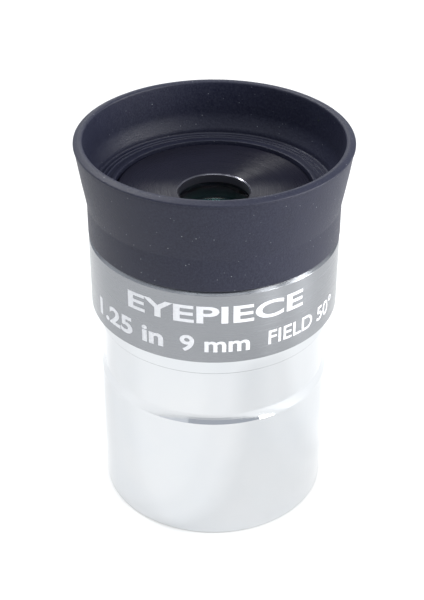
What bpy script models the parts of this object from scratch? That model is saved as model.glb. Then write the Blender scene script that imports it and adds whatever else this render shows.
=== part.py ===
"""A telescope eyepiece: a four-element 9 mm ocular on a 1.25 inch barrel, with a fold-down rubber eyecup.

It stands on the barrel's open end. The origin is the centre of that end and +Z is the optical axis,
towards the eye. Nearly every piece is a turned outline, so each section below gives its outline as
(radius, height) points in millimetres and spins it about Z.
"""

import math

import bmesh
import bpy
from mathutils import Matrix

MM = 0.001

# Facets round the pieces seen from outside, and round the small ones inside
OUTER_FACETS = 48
INNER_FACETS = 32

# Clearances: between seated pieces, between threads, and between cemented lenses
SEAT_GAP = 0.1
THREAD_GAP = 0.15
CEMENT_GAP = 0.05

# Barrel: the standard 1.25 inch push fit
BARREL_R = 31.75 / 2
BARREL_BORE_R = 13.9
BARREL_EDGE = 0.12
UNDERCUT_R = 15.51
UNDERCUT_LOW_Z = 19.49
UNDERCUT_FULL_Z = 20.87
LAND_LOW_Z = 27.9
FILTER_THREAD_R = 28.5 / 2
FILTER_THREAD_Z = 4.6
FILTER_RELIEF = 0.7

# Label band
BAND_R = 16.9
BAND_BORE_R = 14.6
BAND_LOW_Z = 30.42
BAND_HIGH_Z = 41.06
BAND_CHAMFER = 0.42
BAND_RECESS_TOP_Z = 31.0

# Thread that joins the housing to the barrel
JOINT_THREAD_R = 13.95
JOINT_THREAD_LOW_Z = 24.5

# Housing
HOUSING_R = 15.6
HOUSING_BODY_R = 14.5
HOUSING_LOW_BORE_R = 10.9
POCKET_R = 7.75
POCKET_LOW_Z = 34.1
LIP_UNDERSIDE_Z = 45.2
EYE_HOLE_R = 4.5
EYE_HOLE_EDGE = 0.4
EYE_HOLE_Z = 46.2
DISH_R = 13.0
DISH_Z = 46.8
LEDGE_SEAT_Z = 45.85
SNAP_GROOVE_R = 15.0
SNAP_GROOVE_LOW_Z = 42.4
SNAP_GROOVE_HIGH_Z = 44.0

# Eyecup
SLEEVE_R = 16.93
SLEEVE_LOW_Z = 41.16
CREASE_Z = 46.0
LEDGE_Z = 47.25
LEDGE_INNER_R = 13.3
LEDGE_OUTER_R = 16.4
FLARE_TOP_Z = 53.9
FLARE_TOP_R = 18.22
FLARE_TOP_BORE_R = 17.12
FLARE_MIDDLE_Z = 50.0
FLARE_MIDDLE_BORE_R = 16.97
RIM_Z = 54.6
RIM_OUTER_Z = 54.35
RIM_R = 18.35
RIM_ROUND = 0.32

# Glass: two cemented doublets with their crowns facing each other, scaled for a 9 mm focal length
LENS_R = 5.0
CROWN_FACE_RADIUS = 8.3
CEMENT_RADIUS = 16.0
CROWN_THICKNESS = 3.1
FLINT_THICKNESS = 1.3
CROWN_SPACING = 0.3
EYE_LENS_Z = 45.0
LENS_RINGS = 4

# Lens cell and the rings inside it
CELL_R = 7.6
CELL_BORE_R = 5.08
CELL_FLANGE_R = 10.6
CELL_LOW_Z = 32.6
RING_THREAD_R = 6.1
RING_BORE_R = 4.4
RING_HEIGHT = 1.4
RING_SLOT_WIDTH = 0.9
RING_SLOT_DEPTH = 0.6
SPACER_WALL = 0.45
FIELD_STOP_R = 4.0
FIELD_STOP_Z = 30.5
FIELD_STOP_PLATE = 0.6
FIELD_STOP_LIP = 0.15
FIELD_STOP_SKIRT = 2.2
FIELD_STOP_WALL = 0.9

# Heights that follow from the glass
CROWN_TOP_Z = EYE_LENS_Z - FLINT_THICKNESS
CROWN_LOW_Z = CROWN_TOP_Z - CROWN_THICKNESS
MIRROR_Z = CROWN_LOW_Z - CROWN_SPACING / 2
FIELD_LENS_Z = 2 * MIRROR_Z - EYE_LENS_Z


def clear_scene():
    for obj in list(bpy.data.objects):
        bpy.data.objects.remove(obj, do_unlink=True)


def material(name, color, roughness, metallic=0.0, transmission=0.0):
    mat = bpy.data.materials.new(name)
    mat.use_nodes = True
    shader = mat.node_tree.nodes["Principled BSDF"]
    shader.inputs["Base Color"].default_value = (*color, 1.0)
    shader.inputs["Roughness"].default_value = roughness
    shader.inputs["Metallic"].default_value = metallic
    shader.inputs["Transmission Weight"].default_value = transmission
    return mat


def turned(name, outline, mat, facets=OUTER_FACETS, parent=None, pivot_z=0.0, closed=True):
    """Spins an outline of (radius, height) points about Z. An open outline starts and ends on the axis.
    The object's origin is on the axis at pivot_z."""
    bm = bmesh.new()
    verts = [bm.verts.new((r * MM, 0, (z - pivot_z) * MM)) for r, z in outline]
    pairs = list(zip(verts, verts[1:]))
    if closed:
        pairs.append((verts[-1], verts[0]))
    edges = [bm.edges.new(pair) for pair in pairs]
    bmesh.ops.spin(
        bm, geom=verts + edges, cent=(0, 0, 0), axis=(0, 0, 1),
        angle=math.tau, steps=facets, use_merge=True,
    )
    bmesh.ops.remove_doubles(bm, verts=bm.verts, dist=1e-7)
    bmesh.ops.recalc_face_normals(bm, faces=bm.faces)
    mesh = bpy.data.meshes.new(name)
    bm.to_mesh(mesh)
    bm.free()
    mesh.shade_smooth()
    mesh.set_sharp_from_angle(angle=math.radians(30))
    mesh.materials.append(mat)
    obj = bpy.data.objects.new(name, mesh)
    bpy.context.scene.collection.objects.link(obj)
    obj.location.z = pivot_z * MM
    if parent:
        attach(obj, parent)
    return obj


def attach(obj, parent):
    """Parents an object without moving it."""
    bpy.context.view_layer.update()
    obj.parent = parent
    obj.matrix_parent_inverse = parent.matrix_world.inverted()


def pivot(name, z, parent=None):
    """An empty on the optical axis, at a joint's height."""
    empty = bpy.data.objects.new(name, None)
    bpy.context.scene.collection.objects.link(empty)
    empty.location.z = z * MM
    if parent:
        attach(empty, parent)
    return empty


def box_cutter(name, size, center):
    """A box that only cuts, so it isn't rendered."""
    bm = bmesh.new()
    bmesh.ops.create_cube(bm, size=1.0, matrix=Matrix.Diagonal((*[s * MM for s in size], 1.0)))
    mesh = bpy.data.meshes.new(name)
    bm.to_mesh(mesh)
    bm.free()
    obj = bpy.data.objects.new(name, mesh)
    bpy.context.scene.collection.objects.link(obj)
    obj.location = [c * MM for c in center]
    obj.hide_render = True
    obj.display_type = "WIRE"
    return obj


def sag(radius, r):
    """How far a sphere's surface has fallen away from its vertex, at distance r from the axis."""
    return radius - math.sqrt(radius * radius - r * r)


def dome(vertex_z, radius, up):
    """Points from the axis to the lens edge on a spherical face that bulges up (1) or down (-1)."""
    steps = [LENS_R * i / LENS_RINGS for i in range(LENS_RINGS + 1)]
    return [(r, vertex_z - up * sag(radius, r)) for r in steps]


def mirrored(outline):
    """The same outline upside down about the middle of the lens group."""
    return [(r, 2 * MIRROR_Z - z) for r, z in outline]


def make_barrel(mat):
    """The long undercut keeps the part from falling out if the focuser's thumbscrew works loose."""
    relief_z = FILTER_THREAD_Z + FILTER_RELIEF
    return turned("barrel", [
        (BARREL_BORE_R + BARREL_EDGE, 0),
        (BARREL_R - BARREL_EDGE, 0),
        (BARREL_R, BARREL_EDGE),
        (BARREL_R, UNDERCUT_LOW_Z),
        (UNDERCUT_R, UNDERCUT_FULL_Z),
        (UNDERCUT_R, LAND_LOW_Z),
        (BARREL_R, LAND_LOW_Z),
        (BARREL_R, BAND_RECESS_TOP_Z - SEAT_GAP),
        (JOINT_THREAD_R + THREAD_GAP, BAND_RECESS_TOP_Z - SEAT_GAP),
        (JOINT_THREAD_R + THREAD_GAP, JOINT_THREAD_LOW_Z - THREAD_GAP),
        (BARREL_BORE_R, JOINT_THREAD_LOW_Z - 2 * THREAD_GAP),
        (BARREL_BORE_R, relief_z),
        (FILTER_THREAD_R, relief_z),
        (FILTER_THREAD_R, FILTER_THREAD_Z),
        (BARREL_BORE_R, FILTER_THREAD_Z),
        (BARREL_BORE_R, BARREL_EDGE),
    ], mat)


def make_label_band(mat, parent):
    """The barrel's top ends in a recess in the band's underside, and the rest of that face is the stop."""
    recess_r = BARREL_R + THREAD_GAP
    return turned("label_band", [
        (BAND_BORE_R, BAND_RECESS_TOP_Z),
        (recess_r, BAND_RECESS_TOP_Z),
        (recess_r, BAND_LOW_Z),
        (BAND_R, BAND_LOW_Z),
        (BAND_R, BAND_HIGH_Z - BAND_CHAMFER),
        (BAND_R - BAND_CHAMFER, BAND_HIGH_Z),
        (BAND_BORE_R, BAND_HIGH_Z),
    ], mat, parent=parent, pivot_z=BAND_LOW_Z)


def make_housing(mat, parent):
    flange_z = BAND_HIGH_Z + SEAT_GAP
    return turned("housing", [
        (EYE_HOLE_R, EYE_HOLE_Z),
        (EYE_HOLE_R, LIP_UNDERSIDE_Z),
        (POCKET_R, LIP_UNDERSIDE_Z),
        (POCKET_R, POCKET_LOW_Z),
        (HOUSING_LOW_BORE_R, POCKET_LOW_Z),
        (HOUSING_LOW_BORE_R, JOINT_THREAD_LOW_Z),
        (JOINT_THREAD_R - THREAD_GAP, JOINT_THREAD_LOW_Z),
        (JOINT_THREAD_R, JOINT_THREAD_LOW_Z + THREAD_GAP),
        (JOINT_THREAD_R, BAND_RECESS_TOP_Z),
        (HOUSING_BODY_R, BAND_RECESS_TOP_Z),
        (HOUSING_BODY_R, flange_z),
        (HOUSING_R, flange_z),
        (HOUSING_R, SNAP_GROOVE_LOW_Z),
        (SNAP_GROOVE_R, SNAP_GROOVE_LOW_Z),
        (SNAP_GROOVE_R, SNAP_GROOVE_HIGH_Z),
        (HOUSING_R, SNAP_GROOVE_HIGH_Z),
        (HOUSING_R, LEDGE_SEAT_Z),
        (DISH_R, LEDGE_SEAT_Z),
        (DISH_R, DISH_Z),
        (EYE_HOLE_R + EYE_HOLE_EDGE, EYE_HOLE_Z + EYE_HOLE_EDGE / 2),
    ], mat, parent=parent, pivot_z=BAND_LOW_Z)


def make_eyecup_sleeve(mat, parent):
    bore_r = HOUSING_R + SEAT_GAP
    rib_r = SNAP_GROOVE_R + SEAT_GAP
    return turned("eyecup_sleeve", [
        (bore_r, SLEEVE_LOW_Z),
        (SLEEVE_R - RIM_ROUND / 2, SLEEVE_LOW_Z),
        (SLEEVE_R, SLEEVE_LOW_Z + RIM_ROUND),
        (SLEEVE_R, CREASE_Z - SEAT_GAP),
        (LEDGE_OUTER_R, CREASE_Z - SEAT_GAP),
        (LEDGE_OUTER_R, LEDGE_Z),
        (LEDGE_INNER_R + RIM_ROUND / 2, LEDGE_Z),
        (LEDGE_INNER_R, LEDGE_Z - RIM_ROUND / 2),
        (LEDGE_INNER_R, LEDGE_SEAT_Z + SEAT_GAP),
        (bore_r, LEDGE_SEAT_Z + SEAT_GAP),
        (bore_r, SNAP_GROOVE_HIGH_Z - SEAT_GAP),
        (rib_r, SNAP_GROOVE_HIGH_Z - 2 * SEAT_GAP),
        (rib_r, SNAP_GROOVE_LOW_Z + 2 * SEAT_GAP),
        (bore_r, SNAP_GROOVE_LOW_Z + SEAT_GAP),
    ], mat, parent=parent, pivot_z=CREASE_Z)


def make_eyecup_flare(mat, parent):
    inner_low_r = LEDGE_OUTER_R + SEAT_GAP
    return turned("eyecup_flare", [
        (inner_low_r, CREASE_Z),
        (SLEEVE_R, CREASE_Z),
        (FLARE_TOP_R, FLARE_TOP_Z - SEAT_GAP),
        (FLARE_TOP_BORE_R, FLARE_TOP_Z - SEAT_GAP),
        (FLARE_MIDDLE_BORE_R, FLARE_MIDDLE_Z),
        (inner_low_r, LEDGE_Z),
    ], mat, parent=parent, pivot_z=CREASE_Z)


def make_eyecup_rim(mat, parent):
    """The top falls away outwards, from the inner edge to the rounded outer one."""
    round_steps = 3
    rounds = []
    for i in range(round_steps + 1):
        turn = math.pi / 2 * i / round_steps
        rounds.append((
            RIM_R - RIM_ROUND * (1 - math.cos(turn)),
            RIM_OUTER_Z - RIM_ROUND * (1 - math.sin(turn)),
        ))
    return turned("eyecup_rim", [
        (FLARE_TOP_BORE_R, FLARE_TOP_Z),
        (FLARE_TOP_R, FLARE_TOP_Z),
        *rounds,
        (FLARE_TOP_BORE_R + RIM_ROUND, RIM_Z),
        (FLARE_TOP_BORE_R, RIM_Z - RIM_ROUND),
    ], mat, parent=parent, pivot_z=FLARE_TOP_Z)


def flint_outline():
    """Flat towards the eye, hollow towards the crown."""
    hollow = dome(CROWN_TOP_Z + CEMENT_GAP, CEMENT_RADIUS, 1)
    return [(0, EYE_LENS_Z), (LENS_R, EYE_LENS_Z), *reversed(hollow)]


def crown_outline():
    """Bulges both ways, more steeply towards the other doublet."""
    cemented = dome(CROWN_TOP_Z, CEMENT_RADIUS, 1)
    face = dome(CROWN_LOW_Z, CROWN_FACE_RADIUS, -1)
    return [*cemented, *reversed(face)]


def make_lenses(crown_mat, flint_mat, parent):
    for name, outline, mat in (
        ("eye_flint", flint_outline(), flint_mat),
        ("eye_crown", crown_outline(), crown_mat),
        ("field_crown", mirrored(crown_outline()), crown_mat),
        ("field_flint", mirrored(flint_outline()), flint_mat),
    ):
        turned(name, outline, mat, INNER_FACETS, parent, MIRROR_Z, closed=False)


def make_lens_spacer(mat, parent):
    outer_r = LENS_R
    inner_r = LENS_R - SPACER_WALL
    top = [(r, CROWN_LOW_Z + sag(CROWN_FACE_RADIUS, r) - SEAT_GAP) for r in (inner_r, outer_r)]
    return turned("lens_spacer", [*top, *reversed(mirrored(top))], mat, INNER_FACETS, parent, MIRROR_Z)


def make_lens_cell(mat, parent):
    step_z = FIELD_LENS_Z - SEAT_GAP
    return turned("lens_cell", [
        (CELL_BORE_R, EYE_LENS_Z),
        (CELL_BORE_R, step_z),
        (RING_THREAD_R, step_z),
        (RING_THREAD_R, CELL_LOW_Z),
        (CELL_FLANGE_R, CELL_LOW_Z),
        (CELL_FLANGE_R, POCKET_LOW_Z - SEAT_GAP),
        (CELL_R, POCKET_LOW_Z - SEAT_GAP),
        (CELL_R, EYE_LENS_Z),
    ], mat, INNER_FACETS, parent, MIRROR_Z)


def make_retaining_ring(mat, parent):
    top_z = FIELD_LENS_Z - 2 * SEAT_GAP
    low_z = top_z - RING_HEIGHT
    outer_r = RING_THREAD_R - THREAD_GAP
    ring = turned("lens_retaining_ring", [
        (RING_BORE_R, low_z + RING_HEIGHT / 2),
        (RING_BORE_R + SPACER_WALL, low_z),
        (outer_r, low_z),
        (outer_r, top_z),
        (RING_BORE_R, top_z),
    ], mat, INNER_FACETS, parent, MIRROR_Z)
    slot = box_cutter(
        "spanner_slot",
        (3 * RING_THREAD_R, RING_SLOT_WIDTH, 2 * RING_SLOT_DEPTH),
        (0, 0, low_z),
    )
    cut = ring.modifiers.new("spanner slots", "BOOLEAN")
    cut.operation = "DIFFERENCE"
    cut.solver = "EXACT"
    cut.object = slot
    return ring


def make_field_stop(mat, parent):
    outer_r = HOUSING_LOW_BORE_R - THREAD_GAP
    skirt_r = outer_r - FIELD_STOP_WALL
    low_z = FIELD_STOP_Z - FIELD_STOP_PLATE
    return turned("field_stop", [
        (FIELD_STOP_R, FIELD_STOP_Z - FIELD_STOP_LIP),
        (FIELD_STOP_R + FIELD_STOP_PLATE, low_z),
        (skirt_r, low_z),
        (skirt_r, low_z - FIELD_STOP_SKIRT),
        (outer_r, low_z - FIELD_STOP_SKIRT),
        (outer_r, FIELD_STOP_Z),
        (FIELD_STOP_R, FIELD_STOP_Z),
    ], mat, INNER_FACETS, parent, MIRROR_Z)


def build():
    clear_scene()
    chrome = material("chrome", (0.83, 0.84, 0.86), 0.12, metallic=1.0)
    satin = material("satin grey", (0.34, 0.35, 0.35), 0.38, metallic=1.0)
    black = material("black anodised", (0.02, 0.021, 0.025), 0.45, metallic=0.4)
    rubber = material("rubber", (0.035, 0.037, 0.045), 0.72)
    crown_glass = material("crown glass", (0.92, 0.97, 0.95), 0.02, transmission=1.0)
    flint_glass = material("flint glass", (0.86, 0.95, 0.9), 0.02, transmission=1.0)

    make_barrel(chrome)
    lift = pivot("housing_lift_axis", BAND_LOW_Z)
    make_label_band(satin, lift)
    turn = pivot("housing_turn_axis", BAND_LOW_Z, lift)
    make_housing(black, turn)
    make_eyecup_sleeve(rubber, turn)
    make_eyecup_flare(rubber, turn)
    fold = pivot("eyecup_fold_axis", FLARE_TOP_Z, turn)
    make_eyecup_rim(rubber, fold)
    make_lenses(crown_glass, flint_glass, turn)
    make_lens_spacer(black, turn)
    make_lens_cell(black, turn)
    make_retaining_ring(black, turn)
    make_field_stop(black, turn)


build()
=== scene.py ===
"""The looks of a telescope eyepiece: fine turned meshes, wrapped lettering, materials, lights and a camera.

Every turned piece is an outline of (radius, height) corners in millimetres, rounded at its corners and spun
about the optical axis, +Z. Heights and radii shared with the CAD come from its nodes' boxes.
"""

import math

import bmesh
import bpy
import numpy as np
from mathutils import Matrix, Vector


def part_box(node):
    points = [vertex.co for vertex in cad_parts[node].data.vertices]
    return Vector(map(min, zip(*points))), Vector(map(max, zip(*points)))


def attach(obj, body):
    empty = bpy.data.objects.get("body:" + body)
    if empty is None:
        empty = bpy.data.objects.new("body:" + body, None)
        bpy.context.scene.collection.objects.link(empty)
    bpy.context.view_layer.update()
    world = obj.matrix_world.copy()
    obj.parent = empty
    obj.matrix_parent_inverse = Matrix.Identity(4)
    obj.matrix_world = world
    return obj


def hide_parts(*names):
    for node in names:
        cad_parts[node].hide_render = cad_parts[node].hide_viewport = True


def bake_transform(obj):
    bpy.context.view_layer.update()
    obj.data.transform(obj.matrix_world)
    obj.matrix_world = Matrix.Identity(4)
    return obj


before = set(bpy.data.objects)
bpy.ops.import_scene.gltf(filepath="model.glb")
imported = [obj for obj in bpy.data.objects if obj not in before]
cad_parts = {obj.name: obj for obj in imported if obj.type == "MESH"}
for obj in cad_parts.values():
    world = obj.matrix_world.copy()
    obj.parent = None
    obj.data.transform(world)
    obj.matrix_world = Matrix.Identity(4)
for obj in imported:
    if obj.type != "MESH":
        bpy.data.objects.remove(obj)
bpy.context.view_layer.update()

MM = 0.001

# Segments round the axis, and steps in each rounded corner
SMOOTH = 384
BARREL_SEGMENTS = 288
SMALL = 192
ARC_STEPS = 5


def span(node):
    """A turned CAD node's outer radius, lowest and highest point, in millimetres."""
    low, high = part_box(node)
    return high.x / MM, low.z / MM, high.z / MM


# Sizes that come from the frame
BARREL_R, _, BARREL_TOP_Z = span("barrel")
BAND_R, BAND_LOW_Z, BAND_HIGH_Z = span("label_band")
HOUSING_R, HOUSING_LOW_Z, DISH_Z = span("housing")
SLEEVE_R, SLEEVE_LOW_Z, LEDGE_Z = span("eyecup_sleeve")
RIM_R, RIM_LOW_Z, RIM_Z = span("eyecup_rim")
LENS_R, _, EYE_LENS_Z = span("eye_flint")
_, EYE_CROWN_LOW_Z, _ = span("eye_crown")
CELL_FLANGE_R, CELL_LOW_Z, CELL_TOP_Z = span("lens_cell")
RING_R, RING_LOW_Z, RING_TOP_Z = span("lens_retaining_ring")
STOP_R, STOP_LOW_Z, STOP_TOP_Z = span("field_stop")

# Clearances between pieces, and thread pitches
TURN_GAP = 0.1
SEAT_GAP = 0.06
CELL_GAP = 0.08
HOUSING_PITCH = 0.75
FILTER_PITCH = 0.6
FINE_PITCH = 0.5
BAFFLE_PITCH = 1.0

# Barrel details
FOOT_CHAMFER_R, FOOT_CHAMFER_Z = 0.14, 0.16
UNDERCUT_R = 15.51
UNDERCUT_LOW_Z, UNDERCUT_FULL_Z = 19.49, 20.87
TAPER_EXTRA_DEPTH, TAPER_END_DROP = 0.17, 0.06
LAND_LOW_Z = 27.9
LAND_STEP_R, LAND_STEP_Z, LAND_FULL_Z = 0.04, 0.06, 0.09
WALL_SPLIT_R = UNDERCUT_R - 0.5
BORE_R = 13.9
FILTER_THREAD_R = 14.2
FILTER_THREAD_LOW_Z, FILTER_THREAD_TOP_Z = 0.5, 4.6
RELIEF_R, RELIEF_TOP_Z = 14.25, 5.3
JOINT_THREAD_R = 13.95
JOINT_THREAD_LOW_Z = 24.5
THREAD_MOUTH = 0.25

# Label band details
BAND_CHAMFER = 0.42

# Housing details
HOUSING_BODY_R = 14.5
HOUSING_BORE_R = 10.9
POCKET_R, POCKET_LOW_Z = 7.75, 34.1
LIP_UNDERSIDE_Z = 45.2
EYE_HOLE_R, EYE_HOLE_Z = 4.75, 46.31
EYE_HOLE_CHAMFER_R, EYE_HOLE_CHAMFER_Z = 4.95, EYE_HOLE_Z + 0.12
WORN_EDGE_WIDTH = 0.14
DISH_R = 13.0
SEAT_Z = 45.85
SNAP_R = 15.0
SNAP_LOW_Z, SNAP_HIGH_Z = 42.4, 44.0

# Eyecup details
LEDGE_OUTER_R, LEDGE_INNER_R = 16.1, 13.3
LEDGE_LOW_Z = 47.02
RIDGES_R = (15.35, 14.75)
RIDGE_HEIGHT = 0.12
CONE_LOW_Z = 45.8
BEAD_LOW_Z = 53.95
CONE_TOP_R = 18.25
RIM_OUTER_Z = 54.3
CUP_BORE_R = 17.1
CUP_MIDDLE_R, CUP_MIDDLE_Z = 16.97, 50.0
CUP_CURVE = 1.6
FLARE_STEPS, INNER_STEPS = 26, 20
FLARE_BULGE = 0.04

# Lens shapes
CROWN_FACE_RADIUS, CEMENT_RADIUS, EYE_FACE_RADIUS = 8.3, 16.0, 45.0
EYE_LENS_THICKNESS = 1.3
CEMENT_GAP = 0.05
SPACER_HALF = 0.15
MIDDLE_Z = EYE_CROWN_LOW_Z - SPACER_HALF
DOME_STEPS = 14


class Thread:
    """A screw thread as a wave in a wall's radius. Rows of the wall between low and high carry it."""

    def __init__(self, pitch, depth, low, high):
        self.pitch = pitch
        self.depth = depth
        self.low = low
        self.high = high

    def rows(self, radius, rising=True):
        steps_a_pitch = 6
        count = max(2, round((self.high - self.low) / self.pitch * steps_a_pitch))
        heights = [self.low + (self.high - self.low) * i / count for i in range(count + 1)]
        if not rising:
            heights.reverse()
        return [(radius, z, self) for z in heights]

    def offset(self, z, angles):
        """Nothing at both ends of the thread, and a rounded ridge each pitch between."""
        fade = min(1.0, (z - self.low) / self.pitch, (self.high - z) / self.pitch)
        wave = 0.5 - 0.5 * np.cos(math.tau * z / self.pitch - angles)
        return -self.depth * max(0.0, fade) * wave


def rounded(corners, closed=True):
    """Replaces each corner given as (radius, height, fillet) by an arc. Other points pass unchanged."""
    points = []
    count = len(corners)
    for i, corner in enumerate(corners):
        is_arc = len(corner) == 3 and not isinstance(corner[2], Thread)
        if not is_arc or (not closed and i in (0, count - 1)):
            points.append(corner)
            continue
        here = np.array(corner[:2], float)
        before = np.array(corners[i - 1][:2], float) - here
        after = np.array(corners[(i + 1) % count][:2], float) - here
        room = 0.48 * min(np.linalg.norm(before), np.linalg.norm(after))
        u = before / np.linalg.norm(before)
        v = after / np.linalg.norm(after)
        half = math.acos(max(-1.0, min(1.0, float(u @ v)))) / 2
        reach = min(corner[2] / math.tan(half), room)
        radius = reach * math.tan(half)
        center = here + (u + v) / np.linalg.norm(u + v) * radius / math.sin(half)
        start = here + u * reach - center
        end = here + v * reach - center
        turn = math.atan2(start[0] * end[1] - start[1] * end[0], float(start @ end))
        for step in range(ARC_STEPS + 1):
            a = turn * step / ARC_STEPS
            c, s = math.cos(a), math.sin(a)
            p = center + np.array([c * start[0] - s * start[1], s * start[0] + c * start[1]])
            points.append((float(p[0]), float(p[1])))
    return points


def turned(name, corners, mats, segments=SMOOTH, closed=True, pick=None, sharp=35):
    """Spins an outline about Z. pick(radius, z) gives each face its index in mats."""
    rows = rounded(corners, closed)
    angles = np.arange(segments) * math.tau / segments
    grid = np.zeros((len(rows), segments, 3))
    for i, row in enumerate(rows):
        radius = row[0] + (row[2].offset(row[1], angles) if len(row) == 3 else 0.0)
        grid[i, :, 0] = radius * np.cos(angles)
        grid[i, :, 1] = radius * np.sin(angles)
        grid[i, :, 2] = row[1]
    faces = []
    last = len(rows) if closed else len(rows) - 1
    for i in range(last):
        a, b = i * segments, (i + 1) % len(rows) * segments
        for j in range(segments):
            k = (j + 1) % segments
            faces.append((a + j, a + k, b + k, b + j))
    mesh = bpy.data.meshes.new(name)
    mesh.from_pydata((grid.reshape(-1, 3) * MM).tolist(), [], faces)
    clean(mesh)
    return finish_mesh(name, mesh, mats, pick, sharp)


def clean(mesh):
    bm = bmesh.new()
    bm.from_mesh(mesh)
    bmesh.ops.remove_doubles(bm, verts=bm.verts, dist=1e-8)
    bmesh.ops.dissolve_degenerate(bm, edges=bm.edges, dist=1e-8)
    bmesh.ops.recalc_face_normals(bm, faces=bm.faces)
    bm.to_mesh(mesh)
    bm.free()


def finish_mesh(name, mesh, mats, pick=None, sharp=35):
    for mat in mats:
        mesh.materials.append(mat)
    if pick:
        for face in mesh.polygons:
            x, y, z = face.center / MM
            face.material_index = pick(math.hypot(x, y), z)
    mesh.shade_smooth()
    mesh.set_sharp_from_angle(angle=math.radians(sharp))
    obj = bpy.data.objects.new(name, mesh)
    bpy.context.scene.collection.objects.link(obj)
    return obj


def stand_for(piece, body, slot, *nodes):
    """The piece rides on the body and is shown in place of the nodes. The slot is not used."""
    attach(piece, body)
    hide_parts(*nodes)
    return piece


# ---------------------------------------------------------------- materials


class Shader:
    """A Principled material, with short ways to add and join nodes."""

    def __init__(self, name, color, roughness, metallic=0.0):
        self.mat = bpy.data.materials.new(name)
        self.mat.use_nodes = True
        self.tree = self.mat.node_tree
        self.main = self.tree.nodes["Principled BSDF"]
        self.put("Base Color", (*color, 1.0))
        self.put("Roughness", roughness)
        self.put("Metallic", metallic)
        self.mat.diffuse_color = (*color, 1.0)

    def put(self, socket, value):
        self.main.inputs[socket].default_value = value

    def add(self, kind, **values):
        """Values are sockets to join or numbers to set; names in lower case are the node's own settings."""
        node = self.tree.nodes.new(kind)
        for key, value in values.items():
            if key[0].islower():
                setattr(node, key, value)
                continue
            socket = node.inputs[key.replace("_", " ")]
            if isinstance(value, bpy.types.NodeSocket):
                self.tree.links.new(value, socket)
            else:
                socket.default_value = value
        return node

    def math(self, operation, first, second=0.0):
        node = self.tree.nodes.new("ShaderNodeMath")
        node.operation = operation
        for socket, value in zip(node.inputs, (first, second)):
            if isinstance(value, bpy.types.NodeSocket):
                self.tree.links.new(value, socket)
            else:
                socket.default_value = value
        return node.outputs[0]

    def position(self):
        return self.add("ShaderNodeTexCoord").outputs["Object"]

    def around(self, turns, heights):
        """Coordinates that run round the axis and along it, for marks left by a lathe or a brush."""
        parts = self.add("ShaderNodeSeparateXYZ", Vector=self.position())
        x, y, z = parts.outputs
        angle = self.math("ARCTAN2", y, x)
        radius = self.math("SQRT", self.math("ADD", self.math("POWER", x, 2.0), self.math("POWER", y, 2.0)))
        return self.add(
            "ShaderNodeCombineXYZ",
            X=self.math("MULTIPLY", angle, turns),
            Y=self.math("MULTIPLY", z, heights),
            Z=self.math("MULTIPLY", radius, heights),
        ).outputs[0]

    def noise(self, vector, scale, detail=3.0, roughness=0.5):
        node = self.add("ShaderNodeTexNoise", Vector=vector, Scale=scale, Detail=detail, Roughness=roughness)
        return node.outputs["Fac"]

    def between(self, factor, low, high, start=0.0, end=1.0):
        """The factor from start to end, stretched to run from low to high."""
        node = self.add("ShaderNodeMapRange", Value=factor)
        for name, value in (("From Min", start), ("From Max", end), ("To Min", low), ("To Max", high)):
            node.inputs[name].default_value = value
        return node.outputs["Result"]

    def mixed(self, factor, first, second):
        node = self.tree.nodes.new("ShaderNodeMix")
        node.data_type = "RGBA"
        self.tree.links.new(factor, node.inputs["Factor"])
        for socket, color in ((node.inputs[6], first), (node.inputs[7], second)):
            if isinstance(color, bpy.types.NodeSocket):
                self.tree.links.new(color, socket)
            else:
                socket.default_value = (*color, 1.0)
        return node.outputs[2]

    def set(self, socket, value):
        self.tree.links.new(value, self.main.inputs[socket])

    def brushed(self, amount):
        """Stretches highlights across lines that run round the axis."""
        self.put("Anisotropic", amount)
        self.put("Anisotropic Rotation", 0.25)
        self.set("Tangent", self.add("ShaderNodeTangent", direction_type="RADIAL", axis="Z").outputs[0])

    def bump(self, height, distance, normal=None):
        """Relief of the given depth in metres. It can lie on top of another bump's normal."""
        node = self.add("ShaderNodeBump", Height=height, Strength=1.0, Distance=distance)
        if normal:
            self.tree.links.new(normal, node.inputs["Normal"])
        self.set("Normal", node.outputs["Normal"])
        return node.outputs["Normal"]


def chrome():
    """Bright plate over a finely turned tube, with faint lengthwise polishing lines and smudges."""
    s = Shader("bright_chrome", (0.70, 0.71, 0.725), 0.07, 1.0)
    lathe = s.noise(s.around(0.6, 9000), 1.0, 2.0)
    polish = s.noise(s.around(30, 40), 1.0, 2.0)
    smudge = s.noise(s.position(), 90, 3.0)
    cloud = s.between(smudge, 0, 1, start=0.3, end=0.7)
    s.set("Roughness", s.between(smudge, 0.02, 0.05, start=0.35, end=0.7))
    s.set("Base Color", s.mixed(cloud, (0.675, 0.695, 0.715), (0.705, 0.715, 0.725)))
    turned_lines = s.bump(lathe, 0.0000015)
    s.bump(polish, 0.000016, normal=turned_lines)
    return s.mat


def satin():
    """Grey anodised ring with fine lathe lines."""
    s = Shader("satin_grey", (0.34, 0.35, 0.36), 0.3, 1.0)
    lathe = s.noise(s.around(1.5, 14000), 1.0, 3.0)
    cloud = s.noise(s.position(), 160, 3.0)
    s.set("Roughness", s.between(lathe, 0.19, 0.29, start=0.3, end=0.7))
    s.set("Base Color", s.mixed(cloud, (0.285, 0.295, 0.31), (0.33, 0.34, 0.355)))
    s.bump(lathe, 0.000003)
    s.brushed(0.85)
    return s.mat


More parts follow.
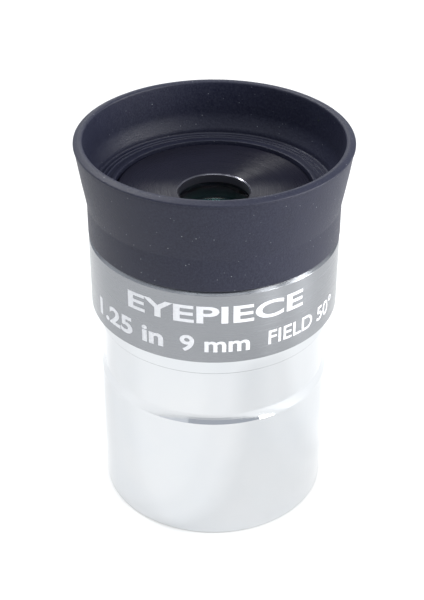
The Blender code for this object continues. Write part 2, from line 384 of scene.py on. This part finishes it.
def black_anodised():
    """Black turned metal: rings from the lathe, slightly glossy, with a faint bloom of dust."""
    s = Shader("black_anodised", (0.010, 0.010, 0.019), 0.34, 0.0)
    lathe = s.noise(s.around(0.4, 16000), 1.0, 2.0)
    bloom = s.noise(s.position(), 140, 4.0)
    s.set("Roughness", s.between(lathe, 0.24, 0.36, start=0.3, end=0.7))
    s.set("Base Color", s.mixed(bloom, (0.006, 0.006, 0.012), (0.013, 0.013, 0.024)))
    s.bump(lathe, 0.000004)
    s.put("Specular IOR Level", 0.18)
    s.brushed(0.95)
    return s.mat


def worn_edge():
    """The black finish rubbed glossy on the eye hole's edge."""
    s = Shader("worn_black_edge", (0.10, 0.10, 0.12), 0.16, 0.8)
    rub = s.noise(s.position(), 2600, 2.0)
    s.set("Roughness", s.between(rub, 0.12, 0.22, start=0.3, end=0.7))
    s.set("Base Color", s.mixed(rub, (0.08, 0.08, 0.10), (0.16, 0.16, 0.18)))
    return s.mat


def matt_black():
    """Blackened inner walls and lens edges."""
    s = Shader("matt_black", (0.020, 0.020, 0.032), 0.75)
    grain = s.noise(s.position(), 5000, 2.0)
    s.set("Base Color", s.mixed(grain, (0.016, 0.016, 0.026), (0.026, 0.026, 0.040)))
    s.set("Roughness", s.between(grain, 0.65, 0.85, start=0.3, end=0.7))
    s.bump(grain, 0.00002)
    return s.mat


def rubber():
    """Moulded charcoal rubber: fine grain, faint cloudy bloom, and pale specks of dust."""
    s = Shader("eyecup_rubber", (0.020, 0.021, 0.036), 0.55)
    s.put("Specular IOR Level", 0.35)
    place = s.position()
    grain = s.noise(place, 3600, 3.0, 0.65)
    bloom = s.noise(place, 260, 4.0, 0.6)
    cells = s.add("ShaderNodeTexVoronoi", Vector=place, Scale=2300.0)
    dot = s.between(cells.outputs["Distance"], 1.0, 0.0, start=0.05, end=0.20)
    chosen = s.add("ShaderNodeSeparateColor", Color=cells.outputs["Color"])
    rare = s.between(chosen.outputs[0], 0.0, 1.0, start=0.88, end=0.99)
    dust = s.math("MULTIPLY", s.math("MULTIPLY", dot, rare), 0.36)
    body = s.mixed(bloom, (0.006, 0.007, 0.019), (0.011, 0.012, 0.030))
    mottling = s.between(grain, 0.0, 0.75, start=0.38, end=0.72)
    mottled = s.mixed(mottling, body, (0.025, 0.028, 0.047))
    s.set("Base Color", s.mixed(dust, mottled, (0.62, 0.66, 0.70)))
    s.set("Roughness", s.between(grain, 0.42, 0.58, start=0.3, end=0.7))
    s.bump(grain, 0.00003)
    return s.mat


def print_white():
    """The pale lettering, slightly uneven like filled engraving."""
    s = Shader("pale_print", (0.72, 0.73, 0.74), 0.55)
    worn = s.noise(s.position(), 4200, 2.0)
    s.set("Base Color", s.mixed(worn, (0.64, 0.65, 0.67), (0.80, 0.80, 0.81)))
    return s.mat


def glass(name, tint, film):
    """Polished glass that reflects blue-green. The film is its coating's thickness in nanometres."""
    s = Shader(name, tint, 0.0)
    s.put("Transmission Weight", 1.0)
    s.put("IOR", 1.75)
    s.put("Specular IOR Level", 1.0)
    s.put("Specular Tint", (0.35, 1.0, 0.95, 1.0))
    s.put("Thin Film Thickness", film)
    s.put("Thin Film IOR", 1.38)
    haze = s.noise(s.position(), 900, 2.0)
    s.set("Roughness", s.between(haze, 0.0, 0.02, start=0.4, end=0.8))
    return s.mat


CHROME = chrome()
SATIN = satin()
BLACK = black_anodised()
MATT = matt_black()
EDGE = worn_edge()
RUBBER = rubber()
PRINT = print_white()
COATED = glass("coated_glass", (0.90, 0.97, 0.93), 480.0)
CROWN_GLASS = glass("crown_glass", (0.94, 0.98, 0.96), 0.0)


# ---------------------------------------------------------------- pieces


def make_barrel():
    """Chromed outside, blackened inside. The safety undercut tapers out at its lower end."""
    filter_thread = Thread(FILTER_PITCH, 0.28, FILTER_THREAD_LOW_Z, FILTER_THREAD_TOP_Z)
    joint_thread = Thread(HOUSING_PITCH, 0.10, JOINT_THREAD_LOW_Z, BARREL_TOP_Z - 0.2)
    baffle = Thread(BAFFLE_PITCH, 0.16, RELIEF_TOP_Z + 0.4, JOINT_THREAD_LOW_Z - 0.7)
    inner_top_r = JOINT_THREAD_R + THREAD_MOUTH

    def finish(r, z):
        """Bright plate outside, black inside. The foot's chamfer and the land's lower edge take the darker
        satin metal as painted shade, standing for the dark lines of the contact shadow and of the shadow
        under the land.
        """
        outside = r > WALL_SPLIT_R
        # painted shade: darker satin on the foot's chamfer and the land's lower edge stands for shadow lines
        if outside and (z < FOOT_CHAMFER_Z - 0.01 or 0 < z - LAND_LOW_Z < LAND_FULL_Z):
            return 2
        return int(not outside and z > FILTER_THREAD_LOW_Z)

    barrel = turned("barrel_tube", [
        (FILTER_THREAD_R + THREAD_MOUTH, 0.0, 0.05),
        (BARREL_R - FOOT_CHAMFER_R, 0.0, 0.03),
        (BARREL_R, FOOT_CHAMFER_Z, 0.03),
        (BARREL_R, UNDERCUT_LOW_Z, 0.05),
        (UNDERCUT_R - TAPER_EXTRA_DEPTH, UNDERCUT_FULL_Z - TAPER_END_DROP, 0.02),
        (UNDERCUT_R, UNDERCUT_FULL_Z, 0.03),
        (UNDERCUT_R, LAND_LOW_Z, 0.03),
        (BARREL_R - LAND_STEP_R, LAND_LOW_Z, 0.02),
        (BARREL_R - LAND_STEP_R, LAND_LOW_Z + LAND_STEP_Z, 0.01),
        (BARREL_R, LAND_LOW_Z + LAND_FULL_Z, 0.02),
        (BARREL_R, BARREL_TOP_Z, 0.08),
        (inner_top_r, BARREL_TOP_Z, 0.08),
        *joint_thread.rows(inner_top_r, rising=False),
        (BORE_R, JOINT_THREAD_LOW_Z - 0.4),
        *baffle.rows(BORE_R, rising=False),
        (BORE_R, RELIEF_TOP_Z, 0.05),
        (RELIEF_R, RELIEF_TOP_Z - 0.2, 0.05),
        (RELIEF_R, FILTER_THREAD_TOP_Z + 0.1, 0.05),
        *filter_thread.rows(FILTER_THREAD_R, rising=False),
    ], [CHROME, MATT, SATIN], BARREL_SEGMENTS, pick=finish)
    return stand_for(barrel, "barrel", "barrel_chrome", "barrel")


def make_label_band():
    """A ring with a recess below that fits over the barrel's top and a chamfered upper edge."""
    recess_z = BARREL_TOP_Z + TURN_GAP
    recess_r = BARREL_R + TURN_GAP
    bore_r = HOUSING_BODY_R + TURN_GAP
    band = turned("label_band_ring", [
        (bore_r, recess_z, 0.05),
        (recess_r, recess_z),
        (recess_r, BAND_LOW_Z, 0.04),
        (BAND_R, BAND_LOW_Z, 0.10),
        (BAND_R, BAND_HIGH_Z - BAND_CHAMFER, 0.06),
        (BAND_R - BAND_CHAMFER, BAND_HIGH_Z, 0.06),
        (bore_r, BAND_HIGH_Z, 0.05),
    ], [SATIN], sharp=60)
    return stand_for(band, "label_band", "band_metal", "label_band")


def make_housing():
    """The visible parts are the dish, the eye hole, and when unscrewed the threaded stub."""

    def finish(r, z):
        """Anodised, but worn glossy on the eye hole's edge and matt inside."""
        if abs(r - EYE_HOLE_CHAMFER_R) < WORN_EDGE_WIDTH and z > EYE_HOLE_Z:
            return 2
        return int(r < HOUSING_BORE_R + 0.4 and z < EYE_HOLE_Z - 0.2)

    thread = Thread(HOUSING_PITCH, 0.30, HOUSING_LOW_Z + 0.3, BAND_LOW_Z + 0.2)
    flange_z = BAND_HIGH_Z + SEAT_GAP
    neck_z = BARREL_TOP_Z + TURN_GAP
    stub_r = JOINT_THREAD_R
    housing = turned("housing_body", [
        (EYE_HOLE_R, EYE_HOLE_Z, 0.04),
        (EYE_HOLE_R, LIP_UNDERSIDE_Z, 0.05),
        (POCKET_R, LIP_UNDERSIDE_Z),
        (POCKET_R, POCKET_LOW_Z, 0.05),
        (HOUSING_BORE_R, POCKET_LOW_Z),
        (HOUSING_BORE_R, HOUSING_LOW_Z, 0.15),
        (stub_r - 0.15, HOUSING_LOW_Z, 0.05),
        *thread.rows(stub_r),
        (stub_r, neck_z),
        (HOUSING_BODY_R, neck_z, 0.05),
        (HOUSING_BODY_R, flange_z),
        (HOUSING_R, flange_z, 0.05),
        (HOUSING_R, SNAP_LOW_Z, 0.05),
        (SNAP_R, SNAP_LOW_Z),
        (SNAP_R, SNAP_HIGH_Z),
        (HOUSING_R, SNAP_HIGH_Z, 0.05),
        (HOUSING_R, SEAT_Z, 0.1),
        (DISH_R, SEAT_Z),
        (DISH_R, DISH_Z, 0.12),
        (EYE_HOLE_CHAMFER_R, EYE_HOLE_CHAMFER_Z, 0.06),
    ], [BLACK, MATT, EDGE], pick=finish)
    return stand_for(housing, "housing", "black_anodised", "housing")


def make_eyecup():
    """One rubber moulding, from the sleeve on the housing up to the rim."""
    bore_r = HOUSING_R + SEAT_GAP
    rib_r = SNAP_R + TURN_GAP
    seat_z = SEAT_Z + SEAT_GAP
    flare = []
    for i in range(1, FLARE_STEPS):
        share = i / FLARE_STEPS
        bulge = FLARE_BULGE * math.sin(math.pi * share)
        flare.append((
            SLEEVE_R + (CONE_TOP_R - SLEEVE_R) * share + bulge,
            CONE_LOW_Z + (BEAD_LOW_Z - CONE_LOW_Z) * share,
        ))
    ridges = []
    for r in RIDGES_R:
        foot, top = LEDGE_LOW_Z + 0.01, LEDGE_LOW_Z + RIDGE_HEIGHT
        ridges += [(r + 0.2, foot, 0.05), (r + 0.12, top, 0.05), (r, top, 0.05), (r - 0.08, foot, 0.05)]
    inner = []
    inner_top_z, inner_low_z = RIM_Z - 0.6, LEDGE_Z + 0.3
    for i in range(1, INNER_STEPS + 1):
        z = inner_top_z + (inner_low_z - inner_top_z) * i / INNER_STEPS
        above = max(0.0, z - CUP_MIDDLE_Z) / (RIM_Z - CUP_MIDDLE_Z)
        below = max(0.0, CUP_MIDDLE_Z - z) / (CUP_MIDDLE_Z - inner_low_z)
        wall_r = CUP_MIDDLE_R + (CUP_BORE_R - CUP_MIDDLE_R) * above
        inner.append((wall_r - (CUP_MIDDLE_R - LEDGE_OUTER_R) * below ** CUP_CURVE, z))
    cup = turned("eyecup", [
        (bore_r, SLEEVE_LOW_Z, 0.08),
        (SLEEVE_R, SLEEVE_LOW_Z, 0.30),
        (SLEEVE_R, CONE_LOW_Z, 0.8),
        *flare,
        (CONE_TOP_R - 0.02, BEAD_LOW_Z, 0.03),
        (CONE_TOP_R - 0.06, BEAD_LOW_Z + 0.04),
        (RIM_R, BEAD_LOW_Z + 0.07, 0.06),
        (RIM_R, RIM_OUTER_Z, 0.22),
        (CUP_BORE_R + 0.5, RIM_Z + 0.03, 0.5),
        (CUP_BORE_R - 0.02, RIM_Z - 0.1, 0.3),
        *inner,
        (LEDGE_OUTER_R, LEDGE_LOW_Z, 0.25),
        *ridges,
        (LEDGE_INNER_R + 0.7, LEDGE_LOW_Z, 0.06),
        (LEDGE_INNER_R + 0.6, LEDGE_Z, 0.1),
        (LEDGE_INNER_R, LEDGE_Z, 0.14),
        (LEDGE_INNER_R, seat_z),
        (bore_r, seat_z),
        (bore_r, SNAP_HIGH_Z - 0.1),
        (rib_r, SNAP_HIGH_Z - 0.2),
        (rib_r, SNAP_LOW_Z + 0.2),
        (bore_r, SNAP_LOW_Z + 0.1),
    ], [RUBBER], sharp=50)
    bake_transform(cup)
    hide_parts("eyecup_sleeve", "eyecup_flare", "eyecup_rim")
    return cup


def sag(radius, r):
    return radius - math.sqrt(radius * radius - r * r)


def dome(vertex_z, radius, up):
    """Points from the axis to the lens edge on a spherical face that bulges up (1) or down (-1)."""
    steps = [LENS_R * i / DOME_STEPS for i in range(DOME_STEPS + 1)]
    return [(r, vertex_z - up * sag(radius, r)) for r in steps]


def make_lenses():
    """Two doublets, crowns inward. The ground edges are blackened."""
    flint_z = EYE_LENS_Z - EYE_LENS_THICKNESS
    flint = [*dome(EYE_LENS_Z, EYE_FACE_RADIUS, 1), *reversed(dome(flint_z + CEMENT_GAP, CEMENT_RADIUS, 1))]
    crown = [*dome(flint_z, CEMENT_RADIUS, 1), *reversed(dome(EYE_CROWN_LOW_Z, CROWN_FACE_RADIUS, -1))]

    def mirrored(outline):
        return [(r, 2 * MIDDLE_Z - z) for r, z in outline]

    for name, outline, mat, node, slot in (
        ("eye_flint_lens", flint, COATED, "eye_flint", "flint_glass"),
        ("eye_crown_lens", crown, CROWN_GLASS, "eye_crown", "crown_glass"),
        ("field_crown_lens", mirrored(crown), CROWN_GLASS, "field_crown", "crown_glass"),
        ("field_flint_lens", mirrored(flint), COATED, "field_flint", "flint_glass"),
    ):
        lens = turned(
            name, outline, [mat, MATT], SMALL, closed=False,
            pick=lambda r, z: int(r > LENS_R - 0.02),
        )
        stand_for(lens, "housing", slot, node)


def make_field_stop():
    """A ring screwed into the housing. Its knife edge is what the eye sees as the edge of the view."""
    hole_r = 4.0
    plate_low_z = STOP_TOP_Z - 0.6
    skirt_r = STOP_R - 0.9
    thread = Thread(FINE_PITCH, 0.12, STOP_LOW_Z + 0.1, STOP_TOP_Z - 0.1)
    stop = turned("field_stop_ring", [
        (hole_r, STOP_TOP_Z - 0.15),
        (hole_r + 0.6, plate_low_z, 0.05),
        (skirt_r, plate_low_z, 0.15),
        (skirt_r, STOP_LOW_Z, 0.08),
        (STOP_R, STOP_LOW_Z, 0.08),
        *thread.rows(STOP_R),
        (hole_r, STOP_TOP_Z),
    ], [BLACK], SMALL)
    return stand_for(stop, "housing", "black_anodised", "field_stop")


def make_lens_cell():
    """The tube round the glass and the spacer between the doublets."""
    bore_r = LENS_R + SEAT_GAP
    thread_r = RING_R + 0.12
    step_z = RING_TOP_Z + CELL_GAP
    seat_z = POCKET_LOW_Z - CELL_GAP
    outer_r = POCKET_R - 0.15
    thread = Thread(FINE_PITCH, 0.1, CELL_LOW_Z + 0.1, step_z - 0.1)
    cell = turned("lens_cell_tube", [
        (bore_r, CELL_TOP_Z, 0.1),
        (bore_r, step_z),
        (thread_r, step_z),
        *thread.rows(thread_r, rising=False),
        (thread_r + 0.1, CELL_LOW_Z, 0.05),
        (CELL_FLANGE_R, CELL_LOW_Z, 0.1),
        (CELL_FLANGE_R, seat_z, 0.05),
        (outer_r, seat_z),
        (outer_r, CELL_TOP_Z, 0.1),
    ], [BLACK], SMALL)
    stand_for(cell, "housing", "black_anodised", "lens_cell")
    spacer_radii = (LENS_R - 0.45, LENS_R)
    top = [(r, EYE_CROWN_LOW_Z + sag(CROWN_FACE_RADIUS, r) - 0.05) for r in spacer_radii]
    low = [(r, 2 * MIDDLE_Z - z) for r, z in reversed(top)]
    spacer = turned("lens_spacer_ring", [*top, *low], [MATT], SMALL)
    stand_for(spacer, "housing", "black_anodised", "lens_spacer")


def make_retaining_ring():
    """A threaded ring with a spanner slot cut right across it."""
    bore_r = LENS_R - 0.6
    ring = turned("retaining_ring", [
        (bore_r, RING_LOW_Z + 0.5),
        (bore_r + 0.4, RING_LOW_Z, 0.05),
        (RING_R, RING_LOW_Z, 0.1),
        (RING_R, RING_TOP_Z, 0.05),
        (bore_r, RING_TOP_Z, 0.05),
    ], [BLACK], SMALL)
    slot_width, slot_height = 0.9, 1.2
    bm = bmesh.new()
    size = Matrix.Diagonal((3 * RING_R * MM, slot_width * MM, slot_height * MM, 1.0))
    bmesh.ops.create_cube(bm, matrix=Matrix.Translation((0, 0, RING_LOW_Z * MM)) @ size)
    mesh = bpy.data.meshes.new("slot_cutter")
    bm.to_mesh(mesh)
    bm.free()
    cutter = bpy.data.objects.new("slot_cutter", mesh)
    bpy.context.scene.collection.objects.link(cutter)
    cut = ring.modifiers.new("slots", "BOOLEAN")
    cut.operation = "DIFFERENCE"
    cut.object = cutter
    depsgraph = bpy.context.evaluated_depsgraph_get()
    carved = bpy.data.meshes.new_from_object(ring.evaluated_get(depsgraph))
    ring.modifiers.clear()
    ring.data = carved
    carved.shade_smooth()
    carved.set_sharp_from_angle(angle=math.radians(35))
    bpy.data.objects.remove(cutter)
    return stand_for(ring, "housing", "black_anodised", "lens_retaining_ring")


# How far the lettering stands proud of the band and goes into it, and the width of the strips that bend it
PRINT_RAISED, PRINT_SUNK = 0.018, 0.03
PRINT_STRIP = 0.3


def make_mark(name, text, cap_height, degrees, center_z, width, weight):
    """Plain generic lettering, wrapped round the label band at degrees from the front.

    The width is the arc that it takes up, and the weight thickens its strokes.
    """
    curve = bpy.data.curves.new(name, "FONT")
    curve.body = text
    curve.size = 1.0
    curve.align_x = "LEFT"
    curve.extrude = 0.01
    curve.offset = weight
    curve.resolution_u = 6
    source = bpy.data.objects.new(name + "_source", curve)
    bpy.context.scene.collection.objects.link(source)
    depsgraph = bpy.context.evaluated_depsgraph_get()
    mesh = bpy.data.meshes.new_from_object(source.evaluated_get(depsgraph))
    bpy.data.objects.remove(source)
    co = np.array([v.co for v in mesh.vertices])
    low, high = co.min(0), co.max(0)
    scale_x = width / (high[0] - low[0])
    scale_y = cap_height / (high[1] - low[1])
    bm = bmesh.new()
    bm.from_mesh(mesh)
    for v in bm.verts:
        v.co.x = (v.co.x - (low[0] + high[0]) / 2) * scale_x
        v.co.y = (v.co.y - (low[1] + high[1]) / 2) * scale_y
        v.co.z = PRINT_RAISED if v.co.z > 0 else -PRINT_SUNK
    cuts = int(width / PRINT_STRIP)
    for i in range(-cuts // 2, cuts // 2 + 1):
        geometry = [*bm.verts, *bm.edges, *bm.faces]
        bmesh.ops.bisect_plane(bm, geom=geometry, plane_co=(i * PRINT_STRIP, 0, 0), plane_no=(1, 0, 0))
    for v in bm.verts:
        angle = math.radians(degrees) + v.co.x / BAND_R
        radius = BAND_R + v.co.z
        v.co = Vector((radius * math.sin(angle), -radius * math.cos(angle), center_z + v.co.y)) * MM
    bmesh.ops.remove_doubles(bm, verts=bm.verts, dist=1e-7)
    bmesh.ops.recalc_face_normals(bm, faces=bm.faces)
    bm.to_mesh(mesh)
    bm.free()
    mark = finish_mesh(name, mesh, [PRINT], sharp=40)
    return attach(mark, "label_band")


def make_marks():
    make_mark("mark_name", "EYEPIECE", 2.6, 1, 37.8, 24.6, 0.022)
    make_mark("mark_fit", "1.25 in", 2.7, -43, 33.4, 12.0, 0.03)
    make_mark("mark_focal_length", "9 mm", 2.5, 0.5, 33.3, 9.1, 0.022)
    make_mark("mark_field", "FIELD 50°", 2.3, 46, 33.4, 12.6, 0.012)


# ---------------------------------------------------------------- stage, lights and camera


def toward(azimuth, elevation, distance):
    """A point round the object. Azimuth 0 is in front, 90 to the right."""
    a, e = math.radians(azimuth), math.radians(elevation)
    flat = distance * math.cos(e)
    return Vector((flat * math.sin(a), -flat * math.cos(a), distance * math.sin(e)))


def make_floor():
    """A white light table: it glows a little, so the object's shadows stay faint."""
    glow = 0.375
    bpy.ops.mesh.primitive_plane_add(size=12)
    floor = bpy.context.object
    floor.name = "floor"
    s = Shader("pale_floor", (0.5, 0.5, 0.5), 0.9)
    s.put("Specular IOR Level", 0.0)
    s.put("Emission Color", (1.0, 1.0, 0.97, 1.0))
    s.put("Emission Strength", glow)
    floor.data.materials.append(s.mat)


def softbox(name, azimuth, elevation, distance, width, height, radiance, color=(1, 1, 1)):
    """A rectangular light aimed at the object. Radiance is its brightness as seen, whatever its size."""
    light = bpy.data.lights.new(name, "AREA")
    light.shape = "RECTANGLE"
    light.size = width
    light.size_y = height
    light.energy = radiance * math.pi * width * height
    light.color = color
    obj = bpy.data.objects.new(name, light)
    bpy.context.scene.collection.objects.link(obj)
    aim = Vector((0, 0, RIM_Z * MM / 2))
    obj.location = aim + toward(azimuth, elevation, distance)
    obj.rotation_euler = (aim - obj.location).to_track_quat("-Z", "Y").to_euler()
    return obj


SKY_COLOR = (0.91, 0.965, 1.07, 1.0)
SKY_STRENGTH = 0.56

# Name, azimuth and elevation in degrees, distance, width and height in metres, radiance.
# A colour follows where the light isn't white.
LIGHTS = [
    ("front_right_lamp", 50, 8, 1.4, 0.3, 0.6, 14.0),
    ("front_right_fill", 50, 36, 1.3, 0.4, 0.4, 4.5),
    ("right_lamp", 82, 8, 1.4, 0.42, 0.5, 16.0),
    ("right_softbox", 82, 30, 1.5, 2.3, 1.5, 0.35, (1.0, 0.99, 0.97)),
    ("right_near_lamp", 78, 24, 0.30, 0.10, 0.10, 9.0),
    ("left_softbox", -67, 18, 1.5, 3.0, 1.3, 0.30),
    ("left_key", -82, 66, 1.3, 0.4, 0.4, 3.2),
    ("top_softbox", 0, 75, 1.3, 0.9, 0.6, 2.8),
    ("back_panel", 180, 26, 1.6, 1.4, 0.35, 2.4),
    ("back_key", -132, 52, 1.3, 0.26, 0.26, 34.0),
    ("back_lamp", -160, 50, 1.3, 0.14, 0.14, 34.0),
]


def make_lights():
    world = bpy.data.worlds.new("studio")
    world.use_nodes = True
    background = world.node_tree.nodes["Background"]
    background.inputs["Color"].default_value = SKY_COLOR
    background.inputs["Strength"].default_value = SKY_STRENGTH
    bpy.context.scene.world = world
    for row in LIGHTS:
        softbox(*row)


# Distance and target height in millimetres, angles in degrees, lens in millimetres
CAMERA_DISTANCE = 190.0
CAMERA_ELEVATION = 33.11
CAMERA_TARGET_Z = 29.10
CAMERA_LENS = 81.5
CAMERA_SHIFT_X = -0.0031
CAMERA_ROLL = 0.18


def make_camera():
    data = bpy.data.cameras.new("camera")
    data.lens = CAMERA_LENS
    data.shift_x = CAMERA_SHIFT_X
    data.clip_start = 0.01
    data.clip_end = 50
    camera = bpy.data.objects.new("camera", data)
    bpy.context.scene.collection.objects.link(camera)
    target = Vector((0, 0, CAMERA_TARGET_Z * MM))
    camera.location = target + toward(0, CAMERA_ELEVATION, CAMERA_DISTANCE * MM)
    aim = (target - camera.location).to_track_quat("-Z", "Y").to_matrix()
    camera.rotation_euler = (aim @ Matrix.Rotation(math.radians(CAMERA_ROLL), 3, "Z")).to_euler()
    bpy.context.scene.camera = camera


make_camera()
make_lights()
make_floor()
make_barrel()
make_label_band()
make_marks()
make_housing()
make_eyecup()
make_lenses()
make_lens_cell()
make_retaining_ring()
make_field_stop()
bpy.context.scene.view_settings.view_transform = "Standard"
